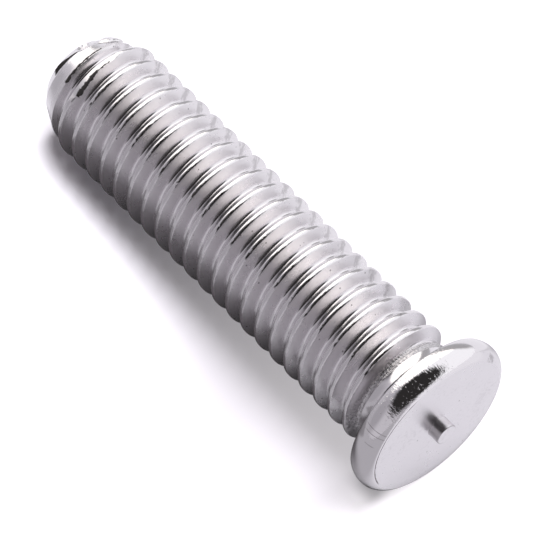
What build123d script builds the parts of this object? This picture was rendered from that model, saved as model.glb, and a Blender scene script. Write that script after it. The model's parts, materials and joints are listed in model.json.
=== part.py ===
import math
import os

from build123d import *

# Weld stud: an ignition tip, an upset flange and an M5 x 0.8 thread, in millimetres.
# It is drawn upright, with the weld face on the XY plane and the free end up.
# The thread is cut on a bar longer than the stud, then the free end is turned down.
# Last, the stud is laid down as it comes to rest, on its flange rim and one thread crest.

# Ignition tip, a small pin in the middle of the weld face
tip_radius = 0.425
tip_length = 0.49
tip_edge = 0.04

# Flange, barrel shaped from being upset
face_radius = 2.92
rim_radius = 3.307
rim_height = 0.47  # from the weld face to where the rim is widest
flange_height = 0.98  # from the weld face to the back edge of the rim
back_edge_radius = 3.175

# Neck behind the flange, which the thread runs out into
neck_radius = 2.06
neck_height = 1.81  # from the weld face to where the flange's fillet ends
neck_length = 0.15
runout_length = 0.3  # from the neck up to the full thread

# Thread, right-handed
pitch = 0.8
crest_radius = 2.436
thread_depth = 0.43
crest_flat = 0.1
flank_angle = 30.0  # degrees between a flank and a cross-section
first_crest_height = 2.38  # from the weld face to the first crest, on the upper side
groove_overcut = 0.04  # how far the cutting profile stands out of the crest

# Free end, tapered in two steps
stud_length = 20.15  # from the weld face to the free end
end_radius = 1.5
end_shoulder_radius = 1.84
end_shoulder_length = 0.38
taper_length = 1.65

# Thread profile
flank_slope = math.tan(math.radians(flank_angle))
root_radius = crest_radius - thread_depth
root_flat = pitch - crest_flat - 2 * thread_depth * flank_slope
groove_top_radius = crest_radius + groove_overcut
groove_top_width = root_flat + 2 * (groove_top_radius - root_radius) * flank_slope
groove_height = first_crest_height - pitch / 2
taper_height = stud_length - taper_length

# Bar that the thread is cut on, before the free end is turned down
groove_turns = math.ceil((stud_length - groove_height) / pitch) + 1
bar_height = groove_height + (groove_turns + 1) * pitch
turning_radius = crest_radius + pitch

# The last full crest on the underside carries the lying stud, with the rim.
lower_crest_height = first_crest_height + pitch / 2
full_turns = math.floor((taper_height - lower_crest_height) / pitch)
rest_crest_height = lower_crest_height + full_turns * pitch
rest_tilt = math.atan((rim_radius - crest_radius) / (rest_crest_height - rim_height))

with BuildPart() as groove_turn:
    # One turn of the thread groove, the first, swept along its helix
    with BuildSketch(Plane.XZ):
        with BuildLine():
            Polyline(
                (root_radius, groove_height - root_flat / 2),
                (root_radius, groove_height + root_flat / 2),
                (groove_top_radius, groove_height + groove_top_width / 2),
                (groove_top_radius, groove_height - groove_top_width / 2),
                close=True,
            )
        make_face()
    with BuildLine() as groove_path:
        Helix(pitch=pitch, height=pitch, radius=root_radius, center=(0, 0, groove_height))
    sweep(path=groove_path.wire(), is_frenet=True)

with BuildPart() as upright_stud:
    # Half section of the tip, the flange and the plain bar, turned about the axis
    with BuildSketch(Plane.XZ):
        with BuildLine():
            Polyline(
                (face_radius, 0),
                (tip_radius, 0),
                (tip_radius, tip_edge - tip_length),
                (tip_radius - tip_edge, -tip_length),
                (0, -tip_length),
                (0, bar_height),
                (crest_radius, bar_height),
                (crest_radius, neck_height + neck_length + runout_length),
                (neck_radius, neck_height + neck_length),
                (neck_radius, neck_height),
            )
            # The rim bulges between the weld face and the back edge.
            TangentArc((rim_radius, rim_height), (face_radius, 0), tangent=(0, -1))
            TangentArc((rim_radius, rim_height), (back_edge_radius, flange_height), tangent=(0, 1))
            # The back of the flange runs into the neck with a large fillet.
            TangentArc((neck_radius, neck_height), (back_edge_radius, flange_height), tangent=(0, -1))
        make_face()
    revolve(axis=Axis.Z)

    # The groove runs from the neck to beyond the free end.
    with Locations([(0, 0, turn * pitch) for turn in range(groove_turns)]):
        add(groove_turn.part, mode=Mode.SUBTRACT)

    # What is turned away at the free end: the two tapers and the rest of the bar
    with BuildSketch(Plane.XZ):
        with BuildLine():
            Polyline(
                (0, stud_length),
                (end_radius, stud_length),
                (end_shoulder_radius, stud_length - end_shoulder_length),
                (crest_radius, taper_height),
                (turning_radius, taper_height),
                (turning_radius, bar_height + pitch),
                (0, bar_height + pitch),
                close=True,
            )
        make_face()
    revolve(axis=Axis.Z, mode=Mode.SUBTRACT)

# The origin is on the ground, under the middle of the lying stud's length.
reach_behind_face = stud_length * math.cos(rest_tilt) + end_radius * math.sin(rest_tilt)
reach_before_face = tip_length * math.cos(rest_tilt) + (tip_radius - tip_edge) * math.sin(rest_tilt)
lying_plane = Plane(
    origin=(
        (reach_behind_face - reach_before_face) / 2,
        0,
        rim_radius * math.cos(rest_tilt) + rim_height * math.sin(rest_tilt),
    ),
    x_dir=(-math.sin(rest_tilt), 0, math.cos(rest_tilt)),
    z_dir=(-math.cos(rest_tilt), 0, -math.sin(rest_tilt)),
)

with BuildPart() as weld_stud:
    with Locations(lying_plane):
        add(upright_stud.part)
weld_stud.part.label = "weld_stud"

os.makedirs("parts", exist_ok=True)
export_step(weld_stud.part, "parts/weld_stud.step")
print("rest tilt", round(math.degrees(rest_tilt), 3), "degrees")
print("face centre", lying_plane.origin)
print("volume", round(weld_stud.part.volume, 2), "valid", weld_stud.part.is_valid)
print("box", weld_stud.part.bounding_box())
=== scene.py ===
import bpy
import json
import math
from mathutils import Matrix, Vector, noise


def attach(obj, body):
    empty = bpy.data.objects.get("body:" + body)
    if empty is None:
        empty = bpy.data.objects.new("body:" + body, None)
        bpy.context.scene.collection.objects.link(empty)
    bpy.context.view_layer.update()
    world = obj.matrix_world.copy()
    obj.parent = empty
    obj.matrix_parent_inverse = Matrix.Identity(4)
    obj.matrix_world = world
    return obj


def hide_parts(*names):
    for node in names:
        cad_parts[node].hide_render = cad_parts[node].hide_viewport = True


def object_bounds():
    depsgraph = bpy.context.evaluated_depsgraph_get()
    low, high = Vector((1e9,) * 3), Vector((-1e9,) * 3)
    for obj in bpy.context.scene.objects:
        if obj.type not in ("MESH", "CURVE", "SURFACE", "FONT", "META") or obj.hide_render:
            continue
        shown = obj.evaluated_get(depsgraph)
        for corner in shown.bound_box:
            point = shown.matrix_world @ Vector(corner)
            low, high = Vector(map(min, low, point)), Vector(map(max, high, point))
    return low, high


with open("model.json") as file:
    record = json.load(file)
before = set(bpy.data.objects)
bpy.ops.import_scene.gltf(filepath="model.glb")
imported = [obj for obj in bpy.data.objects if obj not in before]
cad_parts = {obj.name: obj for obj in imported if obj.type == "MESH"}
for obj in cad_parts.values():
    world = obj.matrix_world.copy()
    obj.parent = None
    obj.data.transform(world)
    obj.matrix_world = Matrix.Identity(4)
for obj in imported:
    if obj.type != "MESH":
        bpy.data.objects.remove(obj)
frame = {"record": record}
cadBox = [list(corner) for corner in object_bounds()]
mm = 0.001  # sizes below are in millimetres, Blender's are in metres

# The lying stud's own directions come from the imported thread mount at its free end.
threadMount = next(m for m in frame["record"]["mounts"] if m["name"] == "thread")
along = Vector(threadMount["axis"]).normalized()  # from the weld face to the free end
across = Vector((0, 1, 0))
upright = across.cross(along)

# Heights run along the stud from the weld face. Angles run round it: 0 is the upper side, 90 is +Y.
stud = dict(
    length=20.15,
    # ignition tip
    tipRadius=0.425, tipLength=0.489, tipEdge=0.03, tipFoot=0.01,
    # flange and neck
    faceRadius=2.92, rimRadius=3.301, rimHeight=0.55, flangeHeight=0.98, backEdgeRadius=3.175,
    neckRadius=2.06, neckHeight=1.81,
    # thread; the first crest's height is that of its middle on the upper side
    pitch=0.8, crestRadius=2.4335, threadDepth=0.43,
    firstCrest=2.38, threadStart=1.83, threadEnd=19.62,
    runoutFrom=1.93, runoutTo=2.18,  # where the blank widens from the neck to the crest
    # the groove's profile: distances along the axis from the crest's middle, towards the free end
    crestFlat=0.087, crestLip=0.138, rootEnd=0.52, crestStart=0.78,
    lipSlope=15, farSlope=58.5, nearSlope=60, rootSlope=7,  # degrees to the axis
    flatRound=0.006, lipRound=0.03, rootRoundFar=0.03, rootRoundNear=0.11, crestRound=0.02,
    # chips along the crest's near edge
    chipDepth=0.016, chipWidth=0.07, chipRound=0.1,
    chipWaves=9, chipTurnStep=7.3, chipFine=2.3, chipFineShare=0.4,
    # free end
    taperHeight=18.5, shoulderHeight=19.77, shoulderRadius=1.84, endRadius=1.499,
    taperShare=0.7,  # how far the groove follows the taper inwards
    # the last crest's height on the upper side and its climb to +Y; the groove fades out just past it
    lastCrest=19.18, lastRise=0.2, fadeFrom=0.03, fadeTo=0.15,
    # wear on the free end's upper side: a crest worn flat, a flake of metal and a dent beside it
    land=dict(turn=20, radius=2.3536, slope=12, angleFrom=-47, angleTo=20, ends=10),
    lumps=[
        dict(angle=42, height=19.66, halfAngle=26, halfHeight=0.24, rise=0.1),
        dict(angle=7, height=19.9, halfAngle=12, halfHeight=0.22, rise=-0.1),
    ],
    lumpWavesRound=6.4, lumpWavesAlong=2.4, lumpRagged=0.35, lumpSteepness=2.5,
    # the mesh: columns round the stud, rings as shares of a radius or a length, and rows on each stretch
    columns=144,
    tipRings=(0.3, 0.6, 0.8), tipSideRings=(0.7, 0.5, 0.3), tipArcRows=3,
    faceRows=9, rimArcRows=10, backArcRows=8, neckArcRows=12,
    taperRows=6, endRings=(0.85, 0.65, 0.4, 0.2),
    # rows within one pitch, in columns, so that each helical row starts on a column
    pitchRows=[
        1, 8, 14, 17, 20, 23, 26, 30, 35, 48, 60, 65, 70,
        78, 86, 91, 96, 101, 107, 117, 129, 133, 137, 139, 141,
    ],
    sharpFrom=38,  # degrees between two faces from which their edge stays sharp
    faceReach=0.002,  # what lies lower than this has the weld face's finish
)
faceCentre = Vector(threadMount["pos_m"]) - along * stud["length"] * mm


def studPoint(height, radius, angle):
    sideways = upright * math.cos(angle) + across * math.sin(angle)
    return faceCentre + (along * height + sideways * radius) * mm


def mixed(low, high, share):
    return low + (high - low) * share


def smoothStep(value):
    value = min(max(value, 0), 1)
    return value * value * (3 - 2 * value)


def softMin(a, b, blend):
    near = max(blend - abs(a - b), 0) / blend
    return min(a, b) - near * near * blend / 4


def softMax(a, b, blend):
    return -softMin(-a, -b, blend)


def slope(degrees):
    return math.tan(math.radians(degrees))


def halfTurns(degrees):
    # the same angle between -180 and 180
    return (degrees + 180) % 360 - 180


def noiseSpot(angle, waves, far):
    # a place in the noise that comes back to itself after a full turn
    return Vector((math.cos(angle) * waves, math.sin(angle) * waves, far))


def groundProfile(height):
    # radius of the blank: neck, run-out cone, full crest, then the two tapers of the free end
    s = stud
    if height < s["taperHeight"]:
        rise = (height - s["runoutFrom"]) / (s["runoutTo"] - s["runoutFrom"])
        return mixed(s["neckRadius"], s["crestRadius"], smoothStep(rise))
    if height < s["shoulderHeight"]:
        fall = (height - s["taperHeight"]) / (s["shoulderHeight"] - s["taperHeight"])
        return mixed(s["crestRadius"], s["shoulderRadius"], fall)
    fall = (height - s["shoulderHeight"]) / (s["length"] - s["shoulderHeight"])
    return mixed(s["shoulderRadius"], s["endRadius"], fall)


def threadDepthAt(place, chip):
    # depth below the crest, place being the distance from the last crest's middle towards the free end
    s = stud
    crest = chip * softMax(0, 1 - abs(place - s["pitch"]) / s["chipWidth"], s["chipRound"])
    lip = softMax(0, (place - s["crestFlat"]) * slope(s["lipSlope"]), s["flatRound"])
    lipDrop = (s["crestLip"] - s["crestFlat"]) * slope(s["lipSlope"])
    far = softMax(lip, lipDrop + (place - s["crestLip"]) * slope(s["farSlope"]), s["lipRound"])
    root = s["threadDepth"] + (place - s["rootEnd"]) * slope(s["rootSlope"])
    near = softMax(crest, (s["crestStart"] - place) * slope(s["nearSlope"]), s["crestRound"])
    return softMin(softMin(far, root, s["rootRoundFar"]), near, s["rootRoundNear"])


def threadSurface(height, angle):
    # radius of the threaded bar, before it is worn
    s = stud
    phase = (height - s["firstCrest"]) / s["pitch"] - angle / (2 * math.pi)
    place = (phase - math.floor(phase)) * s["pitch"]
    spot = noiseSpot(angle, s["chipWaves"], round(phase) * s["chipTurnStep"])
    chip = noise.noise(spot) + s["chipFineShare"] * noise.noise(spot * s["chipFine"])
    depth = threadDepthAt(place, max(0, chip) * s["chipDepth"])
    ground = groundProfile(height)
    cut = s["crestRadius"] - depth
    if height > s["taperHeight"]:
        cut -= s["taperShare"] * (s["crestRadius"] - ground)
    cut = min(cut, ground)
    past = height - s["lastCrest"] - s["lastRise"] * math.sin(angle)
    return mixed(cut, ground, smoothStep((past - s["fadeFrom"]) / (s["fadeTo"] - s["fadeFrom"])))


def wornRadius(radius, height, angle):
    # the free end's wear; the angle is in radians
    s = stud
    land = s["land"]
    degrees = halfTurns(math.degrees(angle))
    past = height - s["firstCrest"] - s["pitch"] * (land["turn"] + degrees / 360)
    if abs(past) < s["pitch"] / 2:
        inside = smoothStep((degrees - land["angleFrom"]) / land["ends"])
        inside *= smoothStep((land["angleTo"] - degrees) / land["ends"])
        radius = mixed(radius, min(radius, land["radius"] - past * slope(land["slope"])), inside)
    ragged = noise.noise(noiseSpot(angle, s["lumpWavesRound"], height * s["lumpWavesAlong"]))
    for lump in s["lumps"]:
        u = halfTurns(degrees - lump["angle"]) / lump["halfAngle"]
        v = (height - lump["height"]) / lump["halfHeight"]
        reach = math.hypot(u, v) + s["lumpRagged"] * ragged
        radius += lump["rise"] * smoothStep((1 - reach) * s["lumpSteepness"])
    return radius


def arcRows(start, end, centre, count):
    # rows of (height, radius) on an arc about centre, without its first point
    a0 = math.atan2(start[1] - centre[1], start[0] - centre[0])
    a1 = math.atan2(end[1] - centre[1], end[0] - centre[0])
    turn = (a1 - a0 + math.pi) % (2 * math.pi) - math.pi
    size = math.hypot(start[0] - centre[0], start[1] - centre[1])
    angles = [a0 + turn * (k + 1) / count for k in range(count)]
    return [(centre[0] + size * math.cos(a), centre[1] + size * math.sin(a)) for a in angles]


def tangentCentre(edge, widest, side):
    # centre of the arc that is level with the axis at widest and passes through edge
    rise = edge[1] - widest[1]
    run = edge[0] - widest[0]
    size = (rise * rise + run * run) / (2 * rise * side)
    return (widest[0], widest[1] + side * size)


def frontRows():
    # rows of (height, radius) from the tip's middle over the face, the flange and the neck
    s = stud
    top = -s["tipLength"]
    rows = [(top, s["tipRadius"] * share) for share in s["tipRings"]]
    rows += [(top, s["tipRadius"] - s["tipEdge"])]
    corner = (top + s["tipEdge"], s["tipRadius"] - s["tipEdge"])
    rows += arcRows(rows[-1], (corner[0], s["tipRadius"]), corner, s["tipArcRows"])
    rows += [(top * share, s["tipRadius"]) for share in s["tipSideRings"]]
    rows += [(-s["tipFoot"], s["tipRadius"])]
    foot = (-s["tipFoot"], s["tipRadius"] + s["tipFoot"])
    rows += arcRows(rows[-1], (0, foot[1]), foot, s["tipArcRows"])
    reach = s["faceRadius"] - foot[1]
    rows += [(0, foot[1] + reach * (k + 1) / s["faceRows"]) for k in range(s["faceRows"])]
    widest = (s["rimHeight"], s["rimRadius"])
    rows += arcRows(rows[-1], widest, tangentCentre(rows[-1], widest, -1), s["rimArcRows"])
    backEdge = (s["flangeHeight"], s["backEdgeRadius"])
    rows += arcRows(rows[-1], backEdge, tangentCentre(backEdge, widest, -1), s["backArcRows"])
    neck = (s["neckHeight"], s["neckRadius"])
    rows += arcRows(rows[-1], neck, tangentCentre(backEdge, neck, 1), s["neckArcRows"])
    return rows


def endRows():
    # rows of (height, radius) from the thread's end over the two tapers to the end's middle
    s = stud
    rows = []
    for start, end in ((s["threadEnd"], s["shoulderHeight"]), (s["shoulderHeight"], s["length"])):
        for k in range(s["taperRows"]):
            height = mixed(start, end, (k + 1) / s["taperRows"])
            rows.append((height, groundProfile(height)))
    rows += [(s["length"], s["endRadius"] * share) for share in s["endRings"]]
    return rows


def buildStud():
    s = stud
    columns = s["columns"]
    points = []
    faces = []

    def addPoint(height, radius, angle):
        if s["taperHeight"] - s["pitch"] < height < s["length"]:
            radius = wornRadius(radius, height, angle)
        points.append(studPoint(height, radius, angle))
        return len(points) - 1

    def ring(height, radius):
        return [addPoint(height, radius, 2 * math.pi * j / columns) for j in range(columns)]

    def join(lower, upper):
        for j in range(columns):
            k = (j + 1) % columns
            faces.append((lower[j], lower[k], upper[k], upper[j]))

    # planar rows from the tip's middle to the neck
    tipMiddle = addPoint(-s["tipLength"], 0, 0)
    rows = [ring(height, radius) for height, radius in frontRows()]
    for j in range(columns):
        faces.append((tipMiddle, rows[0][(j + 1) % columns], rows[0][j]))
    for lower, upper in zip(rows, rows[1:]):
        join(lower, upper)

    # helical rows, clamped to a planar ring at each end of the thread
    startRing = ring(s["threadStart"], threadSurface(s["threadStart"], 0))
    endRing = ring(s["threadEnd"], groundProfile(s["threadEnd"]))
    join(rows[-1], startRing)
    step = s["pitch"] / columns
    startColumn = round((s["threadStart"] - s["firstCrest"]) / step)
    endColumn = round((s["threadEnd"] - s["firstCrest"]) / step)
    made = {}

    def helixPoint(row, j):
        # row and j count columns, and a full turn of columns climbs one pitch
        turn, j = divmod(j, columns)
        place = row + turn * columns + j
        if place <= startColumn:
            return startRing[j]
        if place >= endColumn:
            return endRing[j]
        if (place, j) not in made:
            angle = 2 * math.pi * j / columns
            height = s["firstCrest"] + place * step
            made[(place, j)] = addPoint(height, threadSurface(height, angle), angle)
        return made[(place, j)]

    # a row climbs one pitch each time round, so the first one starts more than a turn before the thread
    turns = range(startColumn // columns - 2, endColumn // columns + 2)
    helixRows = [turn * columns + row for turn in turns for row in s["pitchRows"]]
    for lower, upper in zip(helixRows, helixRows[1:]):
        for j in range(columns):
            corners = [helixPoint(lower, j), helixPoint(lower, j + 1)]
            corners += [helixPoint(upper, j + 1), helixPoint(upper, j)]
            corners = [c for k, c in enumerate(corners) if c not in corners[:k]]
            if len(corners) > 2:
                faces.append(tuple(corners))

    # planar rows over the free end
    rows = [endRing] + [ring(height, radius) for height, radius in endRows()]
    for lower, upper in zip(rows, rows[1:]):
        join(lower, upper)
    endMiddle = addPoint(s["length"], 0, 0)
    for j in range(columns):
        faces.append((rows[-1][j], rows[-1][(j + 1) % columns], endMiddle))

    mesh = bpy.data.meshes.new("weldStudBody")
    mesh.from_pydata(points, [], faces)
    mesh.validate()
    mesh.update()
    mesh.shade_smooth()
    mesh.set_sharp_from_angle(angle=math.radians(s["sharpFrom"]))
    piece = bpy.data.objects.new("weldStudBody", mesh)
    bpy.context.scene.collection.objects.link(piece)
    print("stud mesh:", len(points), "points,", sum(len(f) - 2 for f in faces), "triangles")
    return piece


class NodeChain:
    # small helper that adds nodes to a tree and returns their sockets
    def __init__(self, tree):
        self.tree = tree

    def put(self, socket, value):
        if isinstance(value, bpy.types.NodeSocket):
            self.tree.links.new(value, socket)
        else:
            socket.default_value = value

    def maths(self, operation, *values):
        node = self.tree.nodes.new("ShaderNodeMath")
        node.operation = operation
        for socket, value in zip(node.inputs, values):
            self.put(socket, value)
        return node.outputs["Value"]

    def fold(self, operation, values):
        total = values[0]
        for value in values[1:]:
            total = self.maths(operation, total, value)
        return total

    def plus(self, *values):
        return self.fold("ADD", values)

    def times(self, *values):
        return self.fold("MULTIPLY", values)

    def most(self, *values):
        return self.fold("MAXIMUM", values)

    def minus(self, a, b):
        return self.maths("SUBTRACT", a, b)

    def apart(self, a, b):
        return self.maths("ABSOLUTE", self.minus(a, b))

    def blend(self, factor, low, high):
        node = self.tree.nodes.new("ShaderNodeMix")
        self.put(node.inputs["Factor"], factor)
        self.put(node.inputs["A"], low)
        self.put(node.inputs["B"], high)
        return node.outputs["Result"]

    def mix(self, factor, low, high):
        # two colours
        node = self.tree.nodes.new("ShaderNodeMix")
        node.data_type = "RGBA"
        self.put(node.inputs["Factor"], factor)
        self.put(node.inputs["A"], low if isinstance(low, bpy.types.NodeSocket) else (*low, 1))
        self.put(node.inputs["B"], high if isinstance(high, bpy.types.NodeSocket) else (*high, 1))
        return node.outputs["Result"]

    def ramp(self, value, low, high):
        # 0 at low and 1 at high; low may be the larger number
        node = self.tree.nodes.new("ShaderNodeMapRange")
        node.interpolation_type = "SMOOTHSTEP"
        self.put(node.inputs["Value"], value)
        self.put(node.inputs["From Min"], low)
        self.put(node.inputs["From Max"], high)
        return node.outputs["Result"]

    def window(self, value, low, high, soft):
        # 1 between low and high, with soft edges
        return self.times(
            self.ramp(value, low - soft, low + soft),
            self.ramp(value, high + soft, high - soft),
        )

    def vector(self, *parts):
        node = self.tree.nodes.new("ShaderNodeCombineXYZ")
        for socket, part in zip(node.inputs, parts):
            self.put(socket, part)
        return node.outputs["Vector"]

    def dot(self, vector, fixed):
        node = self.tree.nodes.new("ShaderNodeVectorMath")
        node.operation = "DOT_PRODUCT"
        self.put(node.inputs[0], vector)
        node.inputs[1].default_value = fixed
        return node.outputs["Value"]

    def noise(self, where, detail):
        # about -0.5 to 0.5
        node = self.tree.nodes.new("ShaderNodeTexNoise")
        self.put(node.inputs["Vector"], where)
        node.inputs["Scale"].default_value = 1
        node.inputs["Detail"].default_value = detail
        return self.minus(node.outputs[0], 0.5)

    def cells(self, where):
        # distance from the nearest cell's middle, and that cell's own random number
        node = self.tree.nodes.new("ShaderNodeTexVoronoi")
        self.put(node.inputs["Vector"], where)
        node.inputs["Scale"].default_value = 1
        return node.outputs["Distance"], node.outputs["Color"]

    def bump(self, shader, height):
        # height in millimetres
        node = self.tree.nodes.new("ShaderNodeBump")
        node.inputs["Distance"].default_value = mm
        self.put(node.inputs["Height"], height)
        self.tree.links.new(node.outputs["Normal"], shader.inputs["Normal"])


# Every finish below works in the stud's own coordinates, in millimetres and degrees. A grain is noise:
# its waves to a millimetre round the stud, those along it, and its detail.
steel = dict(
    # the dark colour below serves real dirt and pits and painted shade alike; the black one serves real
    # tears and a painted dark reflection
    colour=(0.80, 0.778, 0.797), dirtAndShade=(0.10, 0.09, 0.09), blackMark=(0.024, 0.022, 0.022),
    pitMiddle=0.4,  # the share of a pit's size that is fully dark
    blackEdge=0.5,  # a black mark turns black up to this strength, and loses its shine from there on
)


def studPlace(chain):
    # sideways, up, height, radius and angle at each point of the surface
    position = chain.tree.nodes.new("ShaderNodeTexCoord").outputs["Object"]
    place = {}
    for name, direction in (("side", across), ("up", upright), ("height", along)):
        fromFace = chain.minus(chain.dot(position, direction), faceCentre.dot(direction))
        place[name] = chain.maths("DIVIDE", fromFace, mm)
    squares = [chain.maths("POWER", place[name], 2) for name in ("side", "up")]
    place["radius"] = chain.maths("SQRT", chain.plus(*squares))
    place["angle"] = chain.maths("DEGREES", chain.maths("ARCTAN2", place["side"], place["up"]))
    return place


def grain(chain, place, waves):
    wavesRound, wavesAlong, detail = waves
    side = chain.times(place["side"], wavesRound)
    up = chain.times(place["up"], wavesRound)
    return chain.noise(chain.vector(side, up, chain.times(place["height"], wavesAlong)), detail)


def pits(chain, place, pit):
    # small round pits: cells to a millimetre, size, the share of the cells that hold one, and darkness
    parts = [chain.times(place[name], pit["cells"]) for name in ("side", "up", "height")]
    distance, own = chain.cells(chain.vector(*parts))
    size = pit["size"] * pit["cells"]
    inside = chain.ramp(distance, size, size * steel["pitMiddle"])
    return chain.times(inside, chain.maths("LESS_THAN", own, pit["share"]), pit["dark"])


def sector(chain, place, mark):
    # 1 between the mark's two angles round the stud, with soft ends
    return chain.window(place["angle"], mark["angleFrom"], mark["angleTo"], mark["ends"])


def steelShader(name):
    material = bpy.data.materials.new(name)
    material.use_nodes = True
    shader = material.node_tree.nodes["Principled BSDF"]
    shader.inputs["Metallic"].default_value = 1
    return material, shader, NodeChain(material.node_tree)


def blacken(chain, shader, dark, blackMarks):
    # dark marks on the steel, real dirt and painted shade, and black marks that no longer shine: real
    # tears and a painted dark reflection on the crests
    dirtyAndShaded = chain.mix(dark, steel["colour"], steel["dirtAndShade"])
    black = chain.ramp(blackMarks, 0, steel["blackEdge"])
    chain.put(shader.inputs["Base Color"], chain.mix(black, dirtyAndShaded, steel["blackMark"]))
    chain.put(shader.inputs["Metallic"], chain.ramp(blackMarks, 1, steel["blackEdge"]))
    shader.inputs["Specular IOR Level"].default_value = 0


faceFinish = dict(
    rough=0.29, uneven=0.06,
    fine=(8, 8, 3), fineDepth=0.0008, streaksAcross=14, streaksUp=2.2, streakDetail=2, streakShare=0.6,
    mottle=(0.7, 0.7, 3), mottleFrom=0.05, mottleTo=0.3, mottleDirt=0.1,
    pits=dict(cells=1.9, size=0.05, share=0.45, dark=0.5),
    # painted shade: a dark broken line where the face meets the rim, on the -Y side only
    line=dict(
        radius=2.905, width=0.036, middle=0.3, angleFrom=-108, angleTo=-20, ends=3,
        ragged=(5, 5, 2), raggedReach=0.04, gaps=(2.5, 2.5, 2), gapFrom=-0.24, gapTo=-0.1,
    ),
    # painted shade: the tip is darker than the face on its -Y side, with a darker ring painted round its
    # end's rounded edge
    tip=dict(reach=0.02, dirtAndShade=0.3, shadeTo=-20, shadeSoft=15, ring=0.5, ringSoft=0.012),
)


def faceSteel():
    material, shader, chain = steelShader("faceSteel")
    place = studPlace(chain)
    f = faceFinish
    fine = grain(chain, place, f["fine"])
    mottle = grain(chain, place, f["mottle"])
    both = chain.plus(mottle, fine)
    chain.put(shader.inputs["Roughness"], chain.plus(f["rough"], chain.times(both, f["uneven"])))
    streaksAcross = chain.times(place["side"], f["streaksAcross"])
    streaksUp = chain.times(place["up"], f["streaksUp"])
    streaks = chain.noise(chain.vector(streaksAcross, streaksUp, 0.0), f["streakDetail"])
    relief = chain.plus(fine, chain.times(streaks, f["streakShare"]))
    chain.bump(shader, chain.times(relief, f["fineDepth"]))

    # the painted shade line where the face meets the rim
    edge = f["line"]
    ragged = chain.times(grain(chain, place, edge["ragged"]), edge["raggedReach"])
    away = chain.plus(chain.apart(place["radius"], edge["radius"]), ragged)
    line = chain.ramp(away, edge["width"], edge["width"] * edge["middle"])
    unbroken = chain.ramp(grain(chain, place, edge["gaps"]), edge["gapFrom"], edge["gapTo"])
    line = chain.times(line, sector(chain, place, edge), unbroken)
    stains = chain.times(chain.ramp(both, f["mottleFrom"], f["mottleTo"]), f["mottleDirt"])
    dark = chain.plus(chain.most(pits(chain, place, f["pits"]), line), stains)

    # painted shade on the tip's -Y side and round its end's edge
    tip = f["tip"]
    endTop = stud["tipEdge"] - stud["tipLength"]
    onTip = chain.maths("LESS_THAN", place["radius"], stud["tipRadius"] + tip["reach"])
    onSide = chain.ramp(place["height"], -stud["tipLength"], endTop)
    darkPatch = chain.ramp(place["angle"], tip["shadeTo"] + tip["shadeSoft"], tip["shadeTo"] - tip["shadeSoft"])
    darkPatch = chain.times(darkPatch, onTip, onSide, tip["dirtAndShade"])
    ringRadius = stud["tipRadius"] - stud["tipEdge"]
    ring = chain.window(place["radius"], ringRadius, stud["tipRadius"], tip["ringSoft"])
    ring = chain.times(ring, chain.maths("LESS_THAN", place["height"], endTop), tip["ring"])
    dark = chain.most(dark, darkPatch, ring)
    chain.put(shader.inputs["Base Color"], chain.mix(dark, steel["colour"], steel["dirtAndShade"]))
    return material


flangeFinish = dict(
    rough=0.09, smoothest=0.05, uneven=0.12,
    fine=(12, 12, 2), fineDepth=0.0015, broad=(1.3, 1.3, 3), ragged=(7, 7, 3),
    pits=dict(cells=3.2, size=0.04, share=0.3, dark=0.35),
    # fine hairs and raised specks on the rim's upper side
    hairs=dict(grain=(13, 1.6, 2), depth=0.008, angleFrom=-42, angleTo=14, ends=12, top=(1.1, 0.9)),
    specks=dict(grain=(15, 6, 3), low=0.1, high=0.28, height=0.007),
    # scratches along the rim's profile, each leaning by some degrees to a millimetre
    scratches=[
        dict(angle=-51.3, start=0.02, stop=0.8, width=0.42, lean=1.5),
        dict(angle=-54.6, start=0.02, stop=0.7, width=0.45, lean=1.0),
        dict(angle=-62.8, start=0.18, stop=0.5, width=0.4, lean=2.0),
    ],
    scratchRagged=0.6, scratchMiddle=0.2, scratchEnds=0.05, scratchDark=0.5,
    # dull grey smudges on the upper side
    smudges=[
        dict(angle=56, height=0.09, halfAngle=5, halfHeight=0.1),
        dict(angle=89, height=0.72, halfAngle=4, halfHeight=0.25),
        dict(angle=70, height=1.5, halfAngle=13, halfHeight=0.22),
    ],
    smudgeRagged=3.2, smudgeOuter=1.3, smudgeInner=0.3, smudgeRough=0.2, smudgeDark=0.4,
    edgeWidth=0.05, edgeDark=0.65,  # a dark line round the flange's back edge
)


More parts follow.
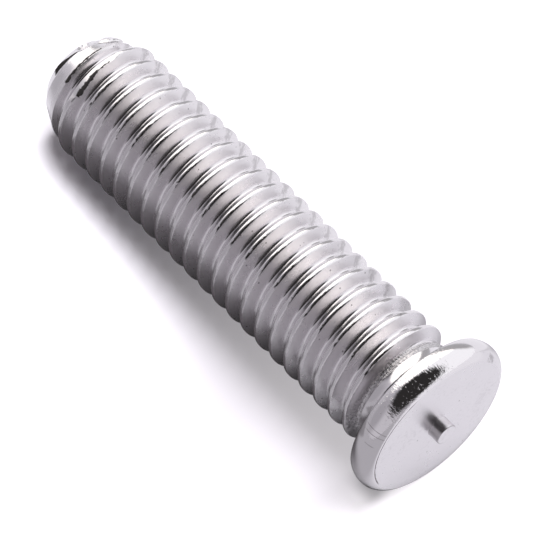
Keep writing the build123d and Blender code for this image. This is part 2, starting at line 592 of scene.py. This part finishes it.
def flangeSteel():
    material, shader, chain = steelShader("flangeSteel")
    place = studPlace(chain)
    f = flangeFinish
    fine = grain(chain, place, f["fine"])
    broad = grain(chain, place, f["broad"])
    ragged = grain(chain, place, f["ragged"])
    smudges = []
    for mark in f["smudges"]:
        u = chain.maths("DIVIDE", chain.minus(place["angle"], mark["angle"]), mark["halfAngle"])
        v = chain.maths("DIVIDE", chain.minus(place["height"], mark["height"]), mark["halfHeight"])
        reach = chain.maths("SQRT", chain.plus(chain.times(u, u), chain.times(v, v)))
        reach = chain.plus(reach, chain.times(ragged, f["smudgeRagged"]))
        smudges.append(chain.ramp(reach, f["smudgeOuter"], f["smudgeInner"]))
    darkPatch = chain.most(*smudges)
    rough = chain.plus(f["rough"], chain.times(chain.plus(fine, broad), f["uneven"]))
    rough = chain.plus(chain.most(rough, f["smoothest"]), chain.times(darkPatch, f["smudgeRough"]))
    chain.put(shader.inputs["Roughness"], rough)

    hairs = f["hairs"]
    specks = f["specks"]
    onRim = chain.times(chain.ramp(place["height"], *hairs["top"]), sector(chain, place, hairs))
    hairRelief = chain.times(grain(chain, place, hairs["grain"]), onRim, hairs["depth"])
    raised = chain.ramp(grain(chain, place, specks["grain"]), specks["low"], specks["high"])
    raised = chain.times(raised, onRim, specks["height"])
    chain.bump(shader, chain.plus(hairRelief, chain.times(fine, f["fineDepth"]), raised))

    dark = pits(chain, place, f["pits"])
    for mark in f["scratches"]:
        middle = chain.plus(mark["angle"], chain.times(place["height"], mark["lean"]))
        away = chain.plus(chain.apart(place["angle"], middle), chain.times(ragged, f["scratchRagged"]))
        line = chain.ramp(away, mark["width"], mark["width"] * f["scratchMiddle"])
        between = chain.window(place["height"], mark["start"], mark["stop"], f["scratchEnds"])
        dark = chain.most(dark, chain.times(line, between, f["scratchDark"]))
    backEdge = chain.ramp(chain.apart(place["height"], stud["flangeHeight"]), f["edgeWidth"], 0)
    dark = chain.most(dark, chain.times(darkPatch, f["smudgeDark"]), chain.times(backEdge, f["edgeDark"]))
    chain.put(shader.inputs["Base Color"], chain.mix(dark, steel["colour"], steel["dirtAndShade"]))
    return material


threadFinish = dict(
    flank=0.3, crest=0.1, root=0.12, uneven=0.14,  # roughness
    rootReach=0.1, crestReach=0.02,  # how far the root's and the crest's own roughness reaches
    fine=(5, 20, 3), fineDepth=0.0022, broad=(1.1, 1.1, 3),
    pits=dict(cells=2.4, size=0.045, share=0.5, dark=0.75), pitsAboveRoot=0.05,
    # the ragged near edge of each crest, in pitches from the crest's middle
    ragged=(7, 7, 3), raggedReach=0.16, chipFrom=-0.08, chipTo=0.05, chipSoft=0.03, chipHeight=0.007,
    # a wrinkled ring at the neck
    wrinkles=dict(grain=(11, 5, 3), start=1.8, stop=2.14, soft=0.06, height=0.05, dark=0.3),
    # painted shade: a speckled dark streak along the upper side, in place of a darker band in the flanks'
    # reflection
    shadeStreak=dict(angle=54, width=8, ragged=(6, 6, 3), raggedReach=26, start=3, full=5, dark=0.32),
    # painted dark reflection: broken black specks along every crest, on the -Y side of the top, in pitches
    # from its middle
    specks=dict(
        low=-0.02, high=0.06, soft=0.012, angleFrom=-33, angleTo=-9, ends=5,
        gaps=(3, 3, 3), gapFrom=-0.04, gapTo=0.04, dark=0.95,
    ),
    # black torn metal along the near edge of two crests, in pitches from the crest's middle
    blackMarks=[
        dict(turn=20, angleFrom=-37, angleTo=6, ends=2, low=-0.16, lowAtEnd=-0.05, high=0.0),
        dict(turn=21, angleFrom=-37, angleTo=14, ends=2, low=-0.1, lowAtEnd=-0.02, high=0.05),
    ],
    tearSoft=0.015,
)


def threadSteel():
    material, shader, chain = steelShader("threadSteel")
    place = studPlace(chain)
    f = threadFinish
    # how far each point is past the first crest and past the nearest one, in pitches
    turns = chain.maths("DIVIDE", chain.minus(place["height"], stud["firstCrest"]), stud["pitch"])
    turns = chain.minus(turns, chain.maths("DIVIDE", place["angle"], 360))
    crestPlace = chain.minus(turns, chain.maths("ROUND", turns))
    fine = grain(chain, place, f["fine"])
    broad = grain(chain, place, f["broad"])
    torn = grain(chain, place, f["ragged"])

    crest = stud["crestRadius"]
    root = crest - stud["threadDepth"]
    flank = chain.plus(f["flank"], chain.times(chain.plus(fine, broad), f["uneven"]))
    rough = chain.blend(chain.ramp(place["radius"], root, root + f["rootReach"]), f["root"], flank)
    rough = chain.blend(chain.ramp(place["radius"], crest - f["crestReach"], crest), rough, f["crest"])
    chain.put(shader.inputs["Roughness"], rough)

    nearEdge = chain.window(crestPlace, f["chipFrom"], f["chipTo"], f["chipSoft"])
    chips = chain.times(torn, nearEdge, f["chipHeight"])
    wrinkles = f["wrinkles"]
    ring = chain.window(place["height"], wrinkles["start"], wrinkles["stop"], wrinkles["soft"])
    folds = chain.times(grain(chain, place, wrinkles["grain"]), ring, wrinkles["height"])
    chain.bump(shader, chain.plus(chain.times(fine, f["fineDepth"]), chips, folds))

    aboveRoot = chain.ramp(place["radius"], root, root + f["pitsAboveRoot"])
    # painted shade: the dark streak along the upper side
    shadeStreak = f["shadeStreak"]
    away = chain.times(grain(chain, place, shadeStreak["ragged"]), shadeStreak["raggedReach"])
    away = chain.plus(chain.apart(place["angle"], shadeStreak["angle"]), away)
    streak = chain.ramp(place["height"], shadeStreak["start"], shadeStreak["full"])
    streak = chain.times(chain.ramp(away, shadeStreak["width"], 0), streak, shadeStreak["dark"])
    dark = chain.times(pits(chain, place, f["pits"]), aboveRoot)
    dark = chain.most(dark, streak, chain.times(ring, wrinkles["dark"]))

    # painted dark reflection on every crest's top; the tears after it are real torn metal
    specks = f["specks"]
    ragged = chain.times(torn, f["raggedReach"])
    black = chain.window(chain.plus(crestPlace, ragged), specks["low"], specks["high"], specks["soft"])
    unbroken = chain.ramp(grain(chain, place, specks["gaps"]), specks["gapFrom"], specks["gapTo"])
    black = chain.times(black, sector(chain, place, specks), unbroken, specks["dark"])
    for blackMark in f["blackMarks"]:
        past = chain.plus(turns, -blackMark["turn"], ragged)
        share = chain.ramp(place["angle"], blackMark["angleTo"], blackMark["angleFrom"])
        low = chain.blend(share, blackMark["lowAtEnd"], blackMark["low"])
        above = chain.ramp(chain.minus(past, low), -f["tearSoft"], f["tearSoft"])
        under = chain.ramp(past, blackMark["high"] + f["tearSoft"], blackMark["high"] - f["tearSoft"])
        black = chain.most(black, chain.times(above, under, sector(chain, place, blackMark)))
    blacken(chain, shader, dark, black)
    return material


endFinish = dict(
    rough=0.16, uneven=0.12, fine=(11, 11, 3), ragged=(5, 5, 3), tearDepth=0.006,
    # a dark strip on the end's chamfer, on the upper side
    strip=dict(
        angleFrom=-43, angleTo=4, ends=3, start=19.8, stopAtFrom=20.2, stopAtTo=19.83,
        startSoft=0.015, stopSoft=0.02, raggedReach=0.08, inside=0.04, outside=0.02,
    ),
)


def endSteel():
    material, shader, chain = steelShader("endSteel")
    place = studPlace(chain)
    f = endFinish
    fine = grain(chain, place, f["fine"])
    ragged = grain(chain, place, f["ragged"])
    chain.put(shader.inputs["Roughness"], chain.plus(f["rough"], chain.times(fine, f["uneven"])))
    chain.bump(shader, chain.times(chain.plus(fine, ragged), f["tearDepth"]))

    strip = f["strip"]
    endRadius = stud["endRadius"]
    onChamfer = chain.ramp(place["radius"], endRadius - strip["inside"], endRadius + strip["outside"])
    share = chain.ramp(place["angle"], strip["angleFrom"], strip["angleTo"])
    stop = chain.blend(share, strip["stopAtFrom"], strip["stopAtTo"])
    height = chain.plus(place["height"], chain.times(ragged, strip["raggedReach"]))
    under = chain.ramp(chain.minus(stop, height), -strip["stopSoft"], strip["stopSoft"])
    above = chain.ramp(height, strip["start"] - strip["startSoft"], strip["start"] + strip["startSoft"])
    blacken(chain, shader, 0.0, chain.times(under, above, onChamfer, sector(chain, place, strip)))
    return material


def dressStud(piece):
    # one finish for each stretch of the stud, from the tip to the free end
    for material in (faceSteel(), flangeSteel(), threadSteel(), endSteel()):
        piece.data.materials.append(material)
    starts = (stud["faceReach"], stud["neckHeight"], stud["threadEnd"])
    for polygon in piece.data.polygons:
        height = (polygon.center - faceCentre).dot(along) / mm
        polygon.material_index = sum(height >= start for start in starts)


body = buildStud()
dressStud(body)
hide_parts("weld_stud")
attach(body, "root")
print("stud done")

floor = dict(
    size=3000,
    # painted light: its colour beside the free end and beside the weld face, darker towards the weld face
    # so that the lamp's shadow there looks shallower
    shadingColourAtEnd=(0.95, 0.915, 0.985), shadingColourAtFace=(0.31, 0.295, 0.325),
    # its glow for the camera alone: beside the free end, beside the weld face and past it
    glowColour=(1, 0.965, 1), glowAtEnd=0.0, glowAtFace=0.52, glowPastFace=0.92,
    contactShade=0.55,  # how much weaker it is right beside the rim's contact
    # what the steel mirrors: bright behind, plain in front, dark tones in the shade beside the shaft
    mirrorGlow=0.03,
    brightTone=(0.42, 0.415, 0.435), plainTone=(0.385, 0.379, 0.403), rimTone=(0.205, 0.2, 0.213),
    shadeTone=(0.042, 0.038, 0.042), nearTone=(0.085, 0.082, 0.088), midTone=(0.115, 0.11, 0.118),
    farTone=(0.21, 0.21, 0.217),
    directions=dict(x=(1, 0, 0), y=(0, 1, 0), slanted=(1, -0.35, 0)),
    # each edge goes from 0 to 1 between two places, in millimetres along a direction
    edges=dict(
        behind=("y", -3, 3), front=("y", -24, -17), face=("slanted", 5.5, 3), end=("x", -11.8, -10.3),
        below=("x", 10, 5), belowFront=("y", -10, -5), right=("x", 14, 20), rightFront=("y", -3, 1),
        rim=("y", -2, -5), near=("y", -5.5, -7.5), mid=("y", -7.5, -10),
        farLeft=("x", -8, -24), farBehind=("y", 12, 30),
        shadingColourFrom=("x", -9, 4), glowFrom=("x", -10, 9),
        pastEnd=("x", -9.5, -12.5), pastFace=("x", 8, 10.3),
        contactLeft=("x", 7.8, 8.8), contactRight=("x", 9.7, 9.2),
        contactFront=("y", -2.95, -2.15), contactBack=("y", 0, -1.2),
    ),
)


def buildFloor():
    low = min(corner[2] for corner in cadBox)
    half = floor["size"] * mm / 2
    corners = [(x * half, y * half, low) for x, y in ((-1, -1), (1, -1), (1, 1), (-1, 1))]
    mesh = bpy.data.meshes.new("floor")
    mesh.from_pydata(corners, [], [(0, 1, 2, 3)])
    piece = bpy.data.objects.new("floor", mesh)
    bpy.context.scene.collection.objects.link(piece)
    material = bpy.data.materials.new("paleFloor")
    material.use_nodes = True
    tree = material.node_tree
    chain = NodeChain(tree)
    shader = tree.nodes["Principled BSDF"]
    rays = tree.nodes.new("ShaderNodeLightPath").outputs
    position = tree.nodes.new("ShaderNodeTexCoord").outputs["Object"]

    def edge(name):
        direction, start, full = floor["edges"][name]
        return chain.ramp(chain.dot(position, floor["directions"][direction]), start * mm, full * mm)

    def area(*names):
        return chain.times(*[edge(name) for name in names])

    # painted reflection: the tones that the steel mirrors, for glossy rays alone
    tone = chain.mix(edge("rim"), floor["plainTone"], floor["rimTone"])
    tone = chain.mix(area("right", "rightFront"), tone, floor["brightTone"])
    beside = chain.mix(edge("mid"), floor["nearTone"], floor["midTone"])
    beside = chain.mix(edge("near"), floor["shadeTone"], beside)
    shade = chain.most(area("face", "end", "front"), area("below", "belowFront", "end"))
    tone = chain.mix(shade, tone, beside)
    tone = chain.mix(area("behind", "face"), tone, floor["brightTone"])
    tone = chain.mix(area("farLeft", "farBehind"), tone, floor["farTone"])
    # the floor's colour, graded along the stud to paint a shallower shadow towards the weld face, and the
    # shader
    own = chain.most(edge("shadingColourFrom"), edge("pastEnd"))
    own = chain.mix(own, floor["shadingColourAtEnd"], floor["shadingColourAtFace"])
    chain.put(shader.inputs["Base Color"], chain.mix(rays["Is Glossy Ray"], own, tone))
    shader.inputs["Roughness"].default_value = 1
    shader.inputs["Specular IOR Level"].default_value = 0
    # the glow makes the floor white for the camera and keeps the shadow
    seen = chain.most(edge("glowFrom"), edge("pastEnd"))
    seen = chain.blend(seen, floor["glowAtEnd"], floor["glowAtFace"])
    seen = chain.blend(edge("pastFace"), seen, floor["glowPastFace"])
    contact = area("contactLeft", "contactRight", "contactFront", "contactBack")
    weaker = chain.blend(contact, 1, 1 - floor["contactShade"])
    seen = chain.times(seen, weaker, rays["Is Camera Ray"])
    mirrored = chain.most(rays["Is Glossy Ray"], rays["Is Transmission Ray"])
    shader.inputs["Emission Color"].default_value = (*floor["glowColour"], 1)
    chain.put(shader.inputs["Emission Strength"], chain.blend(mirrored, seen, floor["mirrorGlow"]))
    mesh.materials.append(material)


buildFloor()
print("floor done")

# Directions from the stud: azimuth runs from +X towards +Y, elevation up from the floor, in degrees.
shadowLamp = dict(azimuth=74, elevation=75.3, spread=36, strength=6.6)  # lights the floor, never the steel


def directionAt(azimuth, elevation):
    turn = math.radians(azimuth)
    rise = math.radians(elevation)
    return Vector((math.cos(turn) * math.cos(rise), math.sin(turn) * math.cos(rise), math.sin(rise)))


def buildShadowLamp():
    data = bpy.data.lights.new("shadowLamp", "SUN")
    data.energy = shadowLamp["strength"]
    data.angle = math.radians(shadowLamp["spread"])
    piece = bpy.data.objects.new("shadowLamp", data)
    piece.visible_glossy = False
    towards = directionAt(shadowLamp["azimuth"], shadowLamp["elevation"])
    piece.rotation_euler = towards.to_track_quat("Z", "Y").to_euler()
    bpy.context.scene.collection.objects.link(piece)


# The studio seen from the stud: a white sweep behind, a grey one in front, and cards and lamps before
# them. Each patch is an ellipse of directions, with half its width and height in degrees.
studio = dict(
    back=(1.12, 1.12, 1.15), front=(0.62, 0.60, 0.64), turnFrom=-0.17, turnTo=0.12,
    onFloor=0.28,  # how strongly it lights the floor
    patches=dict(
        leftFront=dict(
            azimuth=-125, elevation=20, width=30, height=26, roll=0, soft=0.5, colour=(0.41, 0.395, 0.425),
        ),
        overhead=dict(
            azimuth=-16, elevation=64, width=63, height=39, roll=10, soft=0.1, colour=(0.03, 0.028, 0.028),
        ),
        leftCard=dict(
            azimuth=156, elevation=27, width=30, height=37, roll=0, soft=0.12, colour=(1.85, 1.79, 1.72),
        ),
        leftBand=dict(
            azimuth=125, elevation=4, width=26, height=12, roll=0, soft=0.3, colour=(0.45, 0.44, 0.45),
        ),
    ),
)


def patchMask(chain, direction, patch):
    middle = directionAt(patch["azimuth"], patch["elevation"])
    # its width runs along X seen from above, turned by its roll
    side = (Vector((1, 0, 0)) - middle * middle.x).normalized()
    over = middle.cross(side)
    roll = math.radians(patch["roll"])
    wide = side * math.cos(roll) + over * math.sin(roll)
    tall = over * math.cos(roll) - side * math.sin(roll)
    u = chain.maths("DIVIDE", chain.dot(direction, wide), math.sin(math.radians(patch["width"])))
    v = chain.maths("DIVIDE", chain.dot(direction, tall), math.sin(math.radians(patch["height"])))
    reach = chain.maths("SQRT", chain.plus(chain.times(u, u), chain.times(v, v)))
    inside = chain.ramp(reach, 1 + patch["soft"], 1 - patch["soft"])
    facing = chain.maths("GREATER_THAN", chain.dot(direction, middle), 0)
    return chain.times(inside, facing)


def buildWorld():
    world = bpy.data.worlds.new("studioWorld")
    bpy.context.scene.world = world
    world.use_nodes = True
    tree = world.node_tree
    chain = NodeChain(tree)
    direction = tree.nodes.new("ShaderNodeTexCoord").outputs["Generated"]
    turned = chain.ramp(chain.dot(direction, (0, 1, 0)), studio["turnFrom"], studio["turnTo"])
    light = chain.mix(turned, studio["front"], studio["back"])
    for patch in studio["patches"].values():
        light = chain.mix(patchMask(chain, direction, patch), light, patch["colour"])
    background = tree.nodes["Background"]
    chain.put(background.inputs["Color"], light)
    onFloor = tree.nodes.new("ShaderNodeLightPath").outputs["Is Diffuse Ray"]
    chain.put(background.inputs["Strength"], chain.blend(onFloor, 1, studio["onFloor"]))


buildShadowLamp()
buildWorld()
print("lights done")

# The camera looks down on the stud from beside its weld face.
camera = dict(
    azimuth=-40.163, elevation=59.944, distance=135.834,
    lookAt=(1.1124, -0.2955, 3.0), focal=252.217,
    nearest=10, farthest=10000,  # what lies between these is drawn
)


def buildCamera():
    data = bpy.data.cameras.new("camera")
    piece = bpy.data.objects.new("camera", data)
    bpy.context.scene.collection.objects.link(piece)
    back = directionAt(camera["azimuth"], camera["elevation"])
    piece.location = (Vector(camera["lookAt"]) + back * camera["distance"]) * mm
    piece.rotation_euler = back.to_track_quat("Z", "Y").to_euler()
    data.lens = camera["focal"]
    data.clip_start = camera["nearest"] * mm
    data.clip_end = camera["farthest"] * mm
    bpy.context.scene.camera = piece


buildCamera()
bpy.context.scene.view_settings.view_transform = "Standard"
print("camera done")
